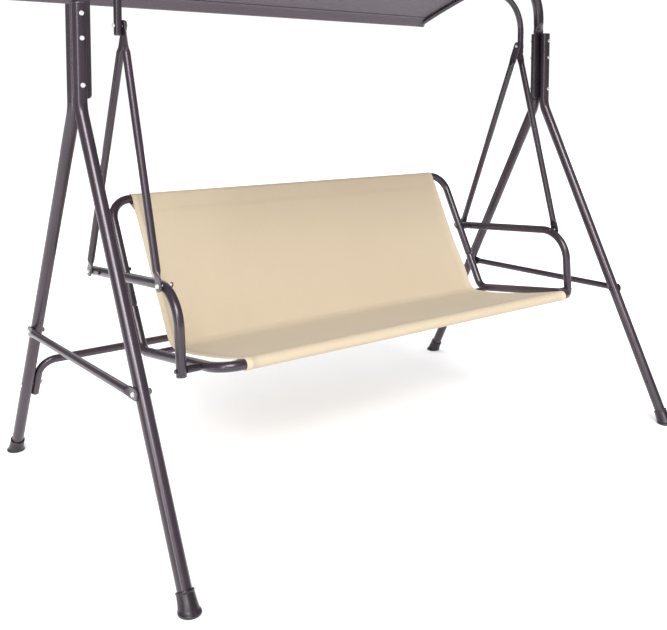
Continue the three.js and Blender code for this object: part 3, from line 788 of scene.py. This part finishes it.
def make_stretcher():
    x = LEG_X - LEG_D / 2 - GAP - STRETCHER_D / 2
    end = (leg_y(STRETCHER_END_Z), STRETCHER_END_Z)
    bend = (leg_y(STRETCHER_Z), STRETCHER_Z)
    stops = route([(-x, *end), (-x, *bend), (x, *bend), (x, *end)], [STRETCHER_R] * 2, step=5)
    tube("rear_stretcher", stops, STRETCHER_D, "frame")
    end_plugs("stretcher", stops, STRETCHER_D, "frame")
    for side, sign in SIDES.items():
        at = (0, leg_y(STRETCHER_BOLT_Z), STRETCHER_BOLT_Z)
        first = LEG_X - LEG_D / 2 - GAP - STRETCHER_D
        bolt(f"stretcher_bolt_{side}", "x", at, sign * first, sign * (LEG_X + LEG_D / 2), "frame")


def joint_marks():
    """Distances from a reduced end where its taper needs stops."""
    return [JOINT_LAP + JOINT_TAPER * k / 4 for k in range(5)]


def reduced(d, far):
    """Share of a tube's width at a distance from its reduced end, which plugs into the next tube."""
    thin = (d / 2 - WALL - JOINT_PLAY) / (d / 2)
    return lerp(thin, 1.0, smooth_step((far - JOINT_LAP) / JOINT_TAPER))


def make_beam(side, sign):
    corners = [(BEAM_X, 0, BEAM_BOTTOM), (BEAM_X, 0, BEAM_Z), (BEAM_JOINT_X - JOINT_LAP, 0, BEAM_Z)]
    stops = with_stops(route(mirrored(corners, sign), [BEAM_R], step=3), from_end=joint_marks())
    flat = Flat(BEAM_FLAT, BEAM_FLAT_TOP - BEAM_BOTTOM, BEAM_ROUND_FROM - BEAM_FLAT_TOP, BEAM_CORNER_R)

    def narrow(s, total):
        return reduced(BEAM_D, total - s)

    tube(f"beam_end_{side}", stops, BEAM_D, "frame", start=flat, narrow=narrow, sides=40)
    at = (sign * (BEAM_JOINT_X - JOINT_LAP / 2), 0, BEAM_Z)
    bolt(f"beam_joint_bolt_{side}", "y", at, -BEAM_D / 2, BEAM_D / 2, "frame")
    for place, z in LEG_BOLTS.items():
        face = LEG_PAIR_Y + LEG_D / 2
        bolt(f"leg_bolt_{place}_{side}", "y", (sign * LEG_X, 0, z), -face, face, "frame")


def make_beam_centre():
    end = BEAM_JOINT_X - GAP
    stops = route([(-end, 0, BEAM_Z), (end, 0, BEAM_Z)])
    tube("beam_centre", stops, BEAM_D, "frame", wide=UP, sides=40)


def make_hanger_bar():
    stops = route([
        (-HANGER_X, 0, HANGER_END_Z), (-HANGER_X, 0, HANGER_BAR_Z),
        (HANGER_X, 0, HANGER_BAR_Z), (HANGER_X, 0, HANGER_END_Z),
    ], [HANGER_R] * 2)
    tube("hanger_bar", stops, HANGER_D, "frame")
    end_plugs("hanger_bar", stops, HANGER_D, "frame")


def plate(outline, holes, half, bevel, name):
    """A mesh from an outline with holes, thickened both ways and with rounded edges."""
    data = bpy.data.curves.new(name + "_outline", "CURVE")
    data.dimensions = "2D"
    data.fill_mode = "BOTH"
    data.extrude = half - bevel
    data.bevel_depth = bevel
    data.bevel_resolution = 2
    data.offset = -bevel
    for loop in [outline, *holes]:
        curve = data.splines.new("POLY")
        curve.points.add(len(loop) - 1)
        for point, (x, y) in zip(curve.points, loop):
            point.co = (x, y, 0, 1)
        curve.use_cyclic_u = True
    temporary = add_object(name + "_outline", data)
    depsgraph = bpy.context.evaluated_depsgraph_get()
    mesh = bpy.data.meshes.new_from_object(temporary.evaluated_get(depsgraph))
    bpy.data.objects.remove(temporary)
    bpy.data.curves.remove(data)
    bm = bmesh.new()
    bm.from_mesh(mesh)
    bpy.data.meshes.remove(mesh)
    bmesh.ops.remove_doubles(bm, verts=bm.verts, dist=2e-6)
    return bm


def arc_points(y, z, r, start, end, count):
    """Points round a centre, from a start to an end angle in degrees."""
    turns = (math.radians(lerp(start, end, k / count)) for k in range(count + 1))
    return [(y + r * math.cos(a), z + r * math.sin(a)) for a in turns]


def make_saddle(side, sign):
    """A cast clamp on the beam, with the hanger bar below and the canopy's rod above."""
    r = SADDLE_CORNER_R
    outline = [
        *arc_points(0, HANGER_BAR_Z, SADDLE_BOTTOM_R, 180, 360, 24),
        *arc_points(SADDLE_WAIST - r, BEAM_Z - 2 * r, r, -30, 0, 4),
        *arc_points(SADDLE_WAIST - r, BEAM_Z + 2 * r, r, 0, 40, 4),
        *arc_points(0, CANOPY_PIVOT_Z, SADDLE_TOP_R, 0, 180, 24),
        *arc_points(-SADDLE_WAIST + r, BEAM_Z + 2 * r, r, 140, 180, 4),
        *arc_points(-SADDLE_WAIST + r, BEAM_Z - 2 * r, r, 180, 210, 4),
    ]
    bores = ((HANGER_BAR_Z, HANGER_D), (BEAM_Z, BEAM_D), (CANOPY_PIVOT_Z, CANOPY_TUBE_D))
    holes = [arc_points(0, z, d / 2 + 0.5 * MM, 0, 360 * 39 / 40, 39) for z, d in bores]
    name = f"beam_saddle_{side}"
    bm = plate(outline, holes, SADDLE_HALF, 1.0 * MM, name)
    turn = Matrix(((0, 0, 1, sign * SADDLE_X), (1, 0, 0, 0), (0, 1, 0, 0), (0, 0, 0, 1)))
    bmesh.ops.transform(bm, matrix=turn, verts=bm.verts)
    boss = Vector((sign * SADDLE_X, -SADDLE_TOP_R + 1.5 * MM, CANOPY_PIVOT_Z))
    lathe(bm, boss, (0, -1, 0), turned((0, 6.5 * MM), (9 * MM, 6.5 * MM), (10 * MM, 5.6 * MM)), sides=40)
    piece(name, bm, "frame_paint", "frame", [name], sharp=35)


def make_knob(side, sign):
    """A lobed hand knob with its clamping screw."""
    count = KNOB_LOBES * 16
    outline = []
    for k in range(count):
        a = 2 * math.pi * k / count
        r = KNOB_R + KNOB_LOBE * math.cos(KNOB_LOBES * a)
        outline.append((r * math.cos(a), r * math.sin(a)))
    name = f"tilt_knob_{side}"
    bm = plate(outline, [], KNOB_DEPTH / 2, 2.4 * MM, name)
    middle = -KNOB_FACE - KNOB_DEPTH / 2
    turn = Matrix(((1, 0, 0, sign * SADDLE_X), (0, 0, 1, middle), (0, 1, 0, CANOPY_PIVOT_Z), (0, 0, 0, 1)))
    bmesh.ops.transform(bm, matrix=turn, verts=bm.verts)
    face = Vector((sign * SADDLE_X, -KNOB_FACE - KNOB_DEPTH + 0.5 * MM, CANOPY_PIVOT_Z))
    lathe(bm, face, (0, -1, 0), turned((0, 6 * MM), (1.0 * MM, 5.6 * MM), (1.4 * MM, 4 * MM)), sides=40)
    tip = Vector((sign * SADDLE_X, -CANOPY_TUBE_D / 2 - 0.6 * MM, CANOPY_PIVOT_Z))
    reach = KNOB_FACE - CANOPY_TUBE_D / 2
    lathe(bm, tip, (0, -1, 0), turned((0, BOLT_SHANK_R), (reach, BOLT_SHANK_R)), sides=24)
    piece(name, bm, "plastic", f"knob_{side}", [name], sharp=40)


# ---- swing seat

REAR_ROD_X = ARM_X + SEAT_D / 2 + GAP + ROD_FLAT[1] / 2
FRONT_ROD_X = REAR_ROD_X + ROD_FLAT[1] + GAP


def make_hanger_rods(side, sign):
    bottom = Flat(ROD_FLAT, ROD_FLAT_LENGTH, ROD_TAPER, ROD_CORNER_R)
    top = Flat(ROD_FLAT, ROD_FLAT_AT_PIVOT, ROD_TAPER, ROD_CORNER_R)
    for end, (y, z), x in (("rear", REAR_ROD_BOLT, REAR_ROD_X), ("front", FRONT_ROD_BOLT, FRONT_ROD_X)):
        low, high = Vector((sign * x, y, z)), Vector((sign * x, 0, PIVOT_Z))
        along = (high - low).normalized()
        stops = route([low - along * ROD_PAST_BOLT, high + along * ROD_PAST_BOLT])
        wide = Vector((1, 0, 0)).cross(along)
        tube(f"hanger_rod_{end}_{side}", stops, HANGER_D, "swing", wide=wide, start=bottom, end=top)
        ends = (sign * (x + ROD_FLAT[1] / 2), sign * (ARM_X - SEAT_D / 2))
        bolt(f"rod_bolt_{end}_{side}", "x", (0, y, z), *ends, "swing", capped=True)
    ends = (sign * (REAR_ROD_X - ROD_FLAT[1] / 2), sign * (HANGER_X + HANGER_D / 2))
    bolt(f"pivot_bolt_{side}", "x", (0, 0, PIVOT_Z), *ends, "frame", washers=False)


def make_spacer(name, sign, y, z):
    """The sleeve on a bolt between the armrest and the seat's tube."""
    length = ARM_X - RAIL_X - SEAT_D - 2 * GAP
    edge = 0.6 * MM
    rows = [(0, SPACER_R - edge), (edge, SPACER_R), (length - edge, SPACER_R), (length, SPACER_R - edge)]
    bm = bmesh.new()
    lathe(bm, (sign * (RAIL_X + SEAT_D / 2 + GAP), y, z), (sign, 0, 0), turned(*rows), sides=40)
    piece(name, bm, "plastic", "swing")


def make_armrest(side, sign):
    corners = [(ARM_X, *ARM_REAR), (ARM_X, *ARM_ELBOW), (ARM_X, *ARM_POST_END)]
    stops = route(mirrored(corners, sign), [ARM_BEND_R], step=3)
    name = f"armrest_{side}"
    tube(name, stops, SEAT_D, "swing")
    end_plugs(name, stops, SEAT_D, "swing")
    ends = (sign * (ARM_X + SEAT_D / 2), sign * (RAIL_X - SEAT_D / 2))
    spots = {"arm": (ARM_BOLT_Y, arm_z(ARM_BOLT_Y)), "post": (post_y(POST_BOLT_Z), POST_BOLT_Z)}
    for spot, (y, z) in spots.items():
        bolt(f"{spot}_bolt_{side}", "x", (0, y, z), *ends, "swing", finish="frame_paint")
        make_spacer(f"{spot}_spacer_{side}", sign, y, z)


def make_seat_frame():
    half = [(RAIL_X, back_y(SEAT_JOINT_Z), SEAT_JOINT_Z), (RAIL_X, *SEAT_CORNER), (RAIL_X, *FRONT_RAIL)]
    corners = half + mirrored(reversed(half), -1)
    radii = [SEAT_CORNER_R, RAIL_CORNER_R, RAIL_CORNER_R, SEAT_CORNER_R]
    tube("seat_frame", route(corners, radii), SEAT_D, "swing")


def make_back_frame():
    rise = (TOP_RAIL[1] - SEAT_CORNER[1]) / math.dist(TOP_RAIL, SEAT_CORNER)
    low = SEAT_JOINT_Z - (JOINT_LAP - GAP) * rise
    half = [(RAIL_X, back_y(low), low), (RAIL_X, *TOP_RAIL)]
    stops = route(half + mirrored(reversed(half), -1), [RAIL_CORNER_R] * 2)
    stops = with_stops(stops, from_start=joint_marks(), from_end=joint_marks())

    def narrow(s, total):
        return reduced(SEAT_D, min(s, total - s))

    tube("back_frame", stops, SEAT_D, "swing", narrow=narrow)


def make_cross_rail():
    end = RAIL_X - SEAT_D / 2 - GAP
    stops = route([(-end, *CROSS_RAIL), (end, *CROSS_RAIL)])
    tube("seat_cross_rail", stops, CROSS_RAIL_D, "swing", wide=UP)


# ---- cloth


def spline(points, per_stretch):
    """A smooth line through points, uniform Catmull-Rom."""
    line = []
    for i in range(len(points) - 1):
        p0, p1 = points[max(0, i - 1)], points[i]
        p2, p3 = points[i + 1], points[min(len(points) - 1, i + 2)]
        for k in range(per_stretch):
            t = k / per_stretch
            bend = 2 * p0 - 5 * p1 + 4 * p2 - p3
            turn = 3 * p1 - 3 * p2 + p3 - p0
            line.append(0.5 * (2 * p1 + (p2 - p0) * t + bend * t * t + turn * t**3))
    line.append(points[-1])
    return line


def pocket(centre, r, leaves, turn, behind, depth, tail=0.014, count=26):
    """The cloth round a rail from the panel to its sewn tail: an arc and a tail, in (y, z).

    leaves is the angle where the panel leaves the rail, turn is +1 or -1 for the way round,
    behind is how far the tail lies from the panel, and depth how far the seam is from the rail.
    """
    a = math.radians(leaves)
    outward = Vector((math.cos(a), math.sin(a)))
    panel = Vector((math.sin(a), -math.cos(a))) * turn
    seam = centre + outward * r + panel * depth - outward * behind
    far = seam + panel * tail
    to_seam = seam - centre
    last = math.atan2(to_seam.y, to_seam.x) - math.acos(r / to_seam.length) * turn
    sweep = (last - a) * turn
    while sweep <= math.radians(90):
        sweep += 2 * math.pi
    turns = (a + turn * sweep * k / count for k in range(count + 1))
    arc = [centre + Vector((math.cos(b), math.sin(b))) * r for b in turns]
    straight = [arc[-1].lerp(seam, k / 6) for k in range(1, 6)]
    return arc, [*straight, seam, far]


HEM_EXTRA = 0.45  # share of its thickness that a hem adds to each face
STITCH_R = 0.42 * MM


class Cloth:
    """A sheet swept along a (y, z) line and across X, with hems, ripples and stitches.

    first and last are its pockets and panel is the line between them. A kind of sheet says its
    half width, thickness, hem, draw_in, ripple, noise seed and sag, and its grip: how far from
    its rails it is still held.
    """

    def __init__(self, first, panel, last):
        (first_arc, first_tail), (last_arc, last_tail) = first, last
        self.line = [*reversed(first_tail), *reversed(first_arc), *panel, *last_arc, *last_tail]
        self.distance = [0.0]
        for a, b in zip(self.line, self.line[1:]):
            self.distance.append(self.distance[-1] + (b - a).length)
        self.length = self.distance[-1]
        last_held = len(first_tail) + len(first_arc) - 1
        self.start, self.end = self.distance[last_held], self.distance[last_held + len(panel) + 1]
        self.free = (self.start + self.grip, self.end - self.grip)

    def locate(self, v):
        """Place and normal of the line at a distance along it."""
        v = min(max(v, 0.0), self.length)
        i = 0
        while i < len(self.distance) - 2 and self.distance[i + 1] < v:
            i += 1
        span = self.distance[i + 1] - self.distance[i]
        t = (v - self.distance[i]) / span if span else 0.0
        at = self.line[i].lerp(self.line[i + 1], t)
        along = (self.line[i + 1] - self.line[i]).normalized()
        return at, Vector((-along.y, along.x))

    def freedom(self, v):
        """0 where the cloth is held, 1 in the middle of its free span."""
        start, end = self.free
        if v <= start or v >= end:
            return 0.0
        return math.sin(math.pi * (v - start) / (end - start)) ** 0.7

    def surface(self, u, v, offset=0.0):
        """A point of the sheet: u across from -1 to 1, v in metres along, offset along its normal."""
        at, normal = self.locate(v)
        loose = self.freedom(v)
        half = self.half - self.draw_in * loose
        x = u * half
        wave = noise.noise(Vector((x * 3.1, v * 3.4, self.seed)))
        wave += 0.4 * noise.noise(Vector((x * 9, v * 7, self.seed + 9)))
        edge = noise.noise(Vector((u * 2, v * 16, self.seed + 3))) * abs(u) ** 10 * 0.7
        lift = offset + self.ripple * loose * (wave + edge) - self.sag(u, v, loose)
        spot = at + normal * lift
        return Vector((x, spot.x, spot.y))

    def rows(self, step):
        """Distances along: every point of the line, and at most a step apart."""
        rows = []
        for a, b in zip(self.distance, self.distance[1:]):
            count = max(1, math.ceil((b - a) / step))
            rows += [lerp(a, b, k / count) for k in range(count)]
        return [*rows, self.length]

    def columns(self, count):
        """Places across from -1 to 1, closer together in the hems."""
        rim = self.hem / self.half
        fold, step = 1 - 0.0004 / self.half, 1 - rim + 0.0006 / self.half
        hem_columns = [1.0, fold, 1 - rim * 0.35, 1 - rim * 0.7, step, 1 - rim]
        inner = [(1 - rim) * (2 * k / count - 1) for k in range(1, count)]
        return [-c for c in hem_columns] + inner + hem_columns[::-1]

    def build(self, name, material, body, replaces, step, count):
        bm = bmesh.new()
        cloth = bm.verts.layers.float_vector.new("cloth")
        us = self.columns(count)
        rim = 1 - self.hem / self.half
        faces_of = {}
        for face in (1, -1):
            grid = []
            for v in self.rows(step):
                row = []
                for u in us:
                    in_hem = 1.0 if abs(u) > rim + 1e-6 else 0.0
                    edge = 0.55 if abs(u) == 1 else 1.0
                    thick = (self.thickness / 2 + in_hem * self.thickness * HEM_EXTRA) * edge
                    vert = bm.verts.new(self.surface(u, v, face * thick))
                    vert[cloth] = (u * self.half, v, in_hem)
                    row.append(vert)
                grid.append(row)
            faces_of[face] = grid
            for a, b in zip(grid, grid[1:]):
                for k in range(len(us) - 1):
                    bm.faces.new((a[k], a[k + 1], b[k + 1], b[k]))
        top, bottom = faces_of[1], faces_of[-1]
        for k in range(len(us) - 1):
            for row in (0, -1):
                bm.faces.new((top[row][k], top[row][k + 1], bottom[row][k + 1], bottom[row][k]))
        for a, b, c, d in zip(top, top[1:], bottom, bottom[1:]):
            for k in (0, -1):
                bm.faces.new((a[k], b[k], d[k], c[k]))
        return piece(name, bm, material, body, replaces, sharp=50)

    def stitches(self, name, material, body, lines, pitch):
        """Rows of stitches on both faces. A line is (start (u, v), end (u, v))."""
        bm = bmesh.new()
        for (u0, v0), (u1, v1) in lines:
            run = math.hypot((u1 - u0) * self.half, v1 - v0)
            in_hem = abs(u0) > 1 - self.hem / self.half
            for k in range(int(run / pitch)):
                for face in (1, -1):
                    a, b = (k + 0.18) * pitch / run, (k + 0.82) * pitch / run
                    off = face * (self.thickness * 0.5 + self.thickness * HEM_EXTRA * in_hem + 0.05 * MM)
                    one = self.surface(lerp(u0, u1, a), lerp(v0, v1, a), off)
                    two = self.surface(lerp(u0, u1, b), lerp(v0, v1, b), off)
                    spindle(bm, one, two, STITCH_R)
        return piece(name, bm, material, body, sharp=80)

    def sew(self, name, material, body, seams, hem_line, pitch):
        """Stitches across at distances from the rails' pockets, and along the middle of each hem."""
        inset = 1 - 0.004 / self.half
        side = 1 - hem_line / self.half
        lines = [((-inset, self.start + d), (inset, self.start + d)) for d in seams]
        lines += [((-inset, self.end - d), (inset, self.end - d)) for d in seams]
        lines += [((u, self.start + 0.002), (u, self.end - 0.002)) for u in (-side, side)]
        return self.stitches(name, material, body, lines, pitch)


def spindle(bm, a, b, r):
    """A six-sided bar from a to b with narrowed ends."""
    along = b - a
    side = along.orthogonal().normalized() * r
    other = along.cross(side).normalized() * r
    around = [side * math.cos(k * math.pi / 3) + other * math.sin(k * math.pi / 3) for k in range(6)]
    rows = []
    for t, size in ((0, 0.35), (0.25, 0.95), (0.75, 0.95), (1, 0.35)):
        rows.append([bm.verts.new(a + along * t + spoke * size) for spoke in around])
    skin(bm, rows)
    bm.faces.new(rows[0])
    bm.faces.new(rows[-1])


class Sling(Cloth):
    half = SLING_HALF
    thickness = 1.2 * MM
    hem = 0.017
    draw_in = 3.5 * MM
    ripple = 1.5 * MM
    seed = 4.0
    grip = 0.05

    def sag(self, u, v, loose):
        """The seat and the back give a little in the middle of their width."""
        return 3.0 * MM * loose * max(0.0, 1 - u * u)


class Roof(Cloth):
    half = CANOPY_HALF
    thickness = 1.0 * MM
    hem = 0.022
    draw_in = 0.0
    ripple = 1.2 * MM
    seed = 21.0
    grip = 0.03

    def sag(self, u, v, loose):
        """The roof hangs between its two arms and its rods."""
        s = (v - self.free[0]) / (self.free[1] - self.free[0])
        if not 0 < s < 1:
            return 0.0
        bays = abs(math.sin(2 * math.pi * s)) * 7.0 * MM + math.sin(math.pi * s) * 3.0 * MM
        return bays * (1 - abs(u) ** 2.5)


def make_sling():
    r = SEAT_D / 2 + GAP + Sling.thickness * 0.95
    behind = Sling.thickness * 2.0
    back_angle = math.degrees(math.atan2(TOP_RAIL[1] - SEAT_CORNER[1], TOP_RAIL[0] - SEAT_CORNER[0]))
    top = pocket(Vector(TOP_RAIL), r, back_angle + 90, -1, behind, SLING_POCKET)
    front = pocket(Vector(FRONT_RAIL), r, SLING_FRONT_ANGLE, 1, behind, SLING_POCKET)
    on_rail = (CROSS_RAIL[0] - 0.004, CROSS_RAIL[1] + CROSS_RAIL_D / 2 + 1.6 * MM)
    points = [Vector(point) for point in (*SLING_BACK, on_rail, *SLING_SEAT)]
    panel = spline([top[0][0], *points, front[0][0]], 12)[1:-1]
    cloth = Sling(top, panel, front)
    made = cloth.build("seat_sling_cloth", "sling_cloth", "swing", ["seat_sling"], 0.012, 56)
    sewn = cloth.sew("sling_stitching", "sling_thread", "swing", (0.042, 0.050), 0.0135, 4.2 * MM)


def make_roof():
    r = CANOPY_TUBE_D / 2 + GAP + Roof.thickness
    behind = Roof.thickness * 2.2
    rear_angle = 90 - math.degrees(CANOPY_REAR / CANOPY_R + CANOPY_TILT)
    front_angle = 90 - math.degrees(-CANOPY_FRONT / CANOPY_R + CANOPY_TILT)
    rear = pocket(arch_point(CANOPY_REAR), r, rear_angle, -1, behind, CANOPY_POCKET)
    front = pocket(arch_point(-CANOPY_FRONT), r, front_angle, 1, behind, CANOPY_POCKET)
    count = 60
    panel = [arch_point(lerp(CANOPY_REAR, -CANOPY_FRONT, k / count), r) for k in range(1, count)]
    cloth = Roof(rear, panel, front)
    made = cloth.build("canopy_roof", "canopy_cloth", "canopy", ["canopy_cloth"], 0.016, 64)
    sewn = cloth.sew("canopy_stitching", "canopy_thread", "canopy", (0.032, 0.040), 0.0185, 4.8 * MM)


# ---- canopy frame


def make_canopy_frame():
    count = 48
    for side, sign in SIDES.items():
        stops = []
        for k in range(count + 1):
            distance = lerp(-CANOPY_FRONT, CANOPY_REAR, k / count)
            at = Vector((sign * CANOPY_ARM_X, *arch_point(distance)))
            angle = distance / CANOPY_R + CANOPY_TILT
            stops.append((at, Vector((0, math.cos(angle), -math.sin(angle)))))
        name = f"canopy_arm_{side}"
        tube(name, stops, CANOPY_TUBE_D, "canopy")
        end_plugs(name, stops, CANOPY_TUBE_D, "canopy")
    end = CANOPY_ARM_X - CANOPY_TUBE_D / 2 - GAP
    for place, distance in (("front", -CANOPY_FRONT), ("rear", CANOPY_REAR)):
        y, z = arch_point(distance)
        tube(f"canopy_rod_{place}", route([(-end, y, z), (end, y, z)]), CANOPY_ROD_D, "canopy", wide=UP)
    out = CANOPY_ARM_X + CANOPY_TUBE_D / 2
    stops = route([(-out, 0, CANOPY_PIVOT_Z), (out, 0, CANOPY_PIVOT_Z)])
    tube("canopy_rod_middle", stops, CANOPY_TUBE_D, "canopy", wide=UP)
    end_plugs("canopy_rod_middle", stops, CANOPY_TUBE_D, "canopy")


# ---- build

make_camera()
make_studio()
for side_name, side_sign in SIDES.items():
    make_legs(side_name, side_sign)
    make_brace(side_name, side_sign)
    make_beam(side_name, side_sign)
    make_saddle(side_name, side_sign)
    make_knob(side_name, side_sign)
    make_hanger_rods(side_name, side_sign)
    make_armrest(side_name, side_sign)
make_stretcher()
make_beam_centre()
make_hanger_bar()
make_seat_frame()
make_back_frame()
make_cross_rail()
make_sling()
make_canopy_frame()
make_roof()
